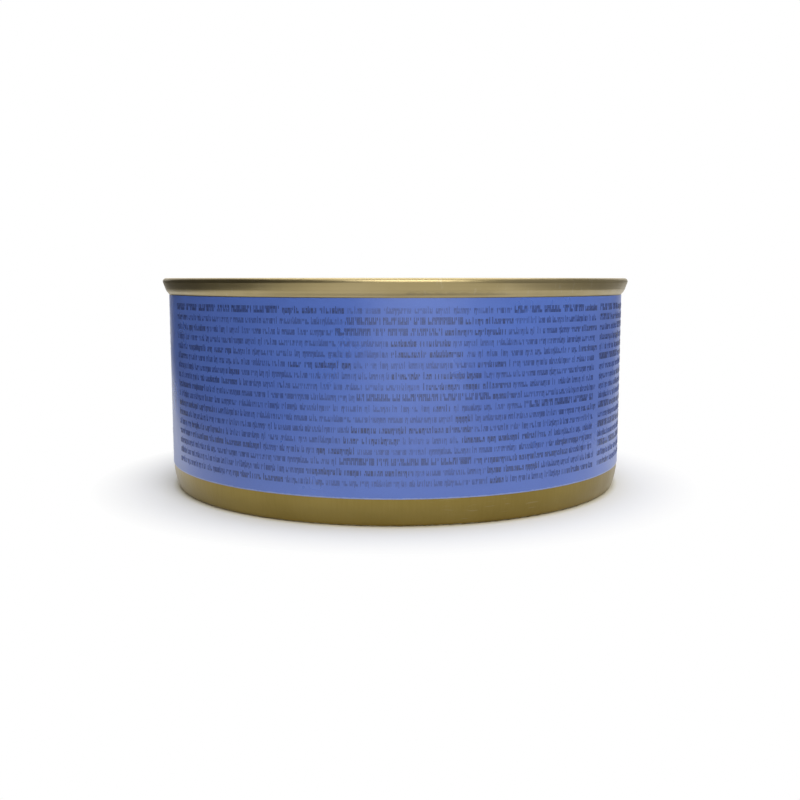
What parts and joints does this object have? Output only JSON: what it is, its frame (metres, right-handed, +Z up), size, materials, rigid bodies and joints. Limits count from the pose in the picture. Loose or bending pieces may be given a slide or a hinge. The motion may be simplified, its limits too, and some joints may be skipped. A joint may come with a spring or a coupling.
{
  "type": "cat food can",
  "caption": "Shallow round metal can of cat food with a double-seamed ring-pull lid, a wrap label and a tucked foot that nests in the lid of a like can.",
  "frame": {"origin": "centre of the foot ring's flat face, on the floor", "axes": "+Z up along the can's axis, -Y towards the front of the label, +X to the right seen from the front"},
  "size_m": [0.0856, 0.0856, 0.0377],
  "materials": {
    "gold_lacquer_body": "gold lacquer over tinplate, satin, with a faint vertical drawing grain",
    "gold_lacquer_lid": "gold lacquer over tinplate, glossy, with turned and pressed rings",
    "tab_metal": "pale gold lacquered sheet, satin",
    "printed_label": "blue printed wrap with a satin coat and small dark lines of print"
  },
  "bodies": {
    "root": {"can_body": "gold_lacquer_body", "lid": "gold_lacquer_lid", "pull_tab": "tab_metal", "label": "printed_label"}
  },
  "joints": []
}
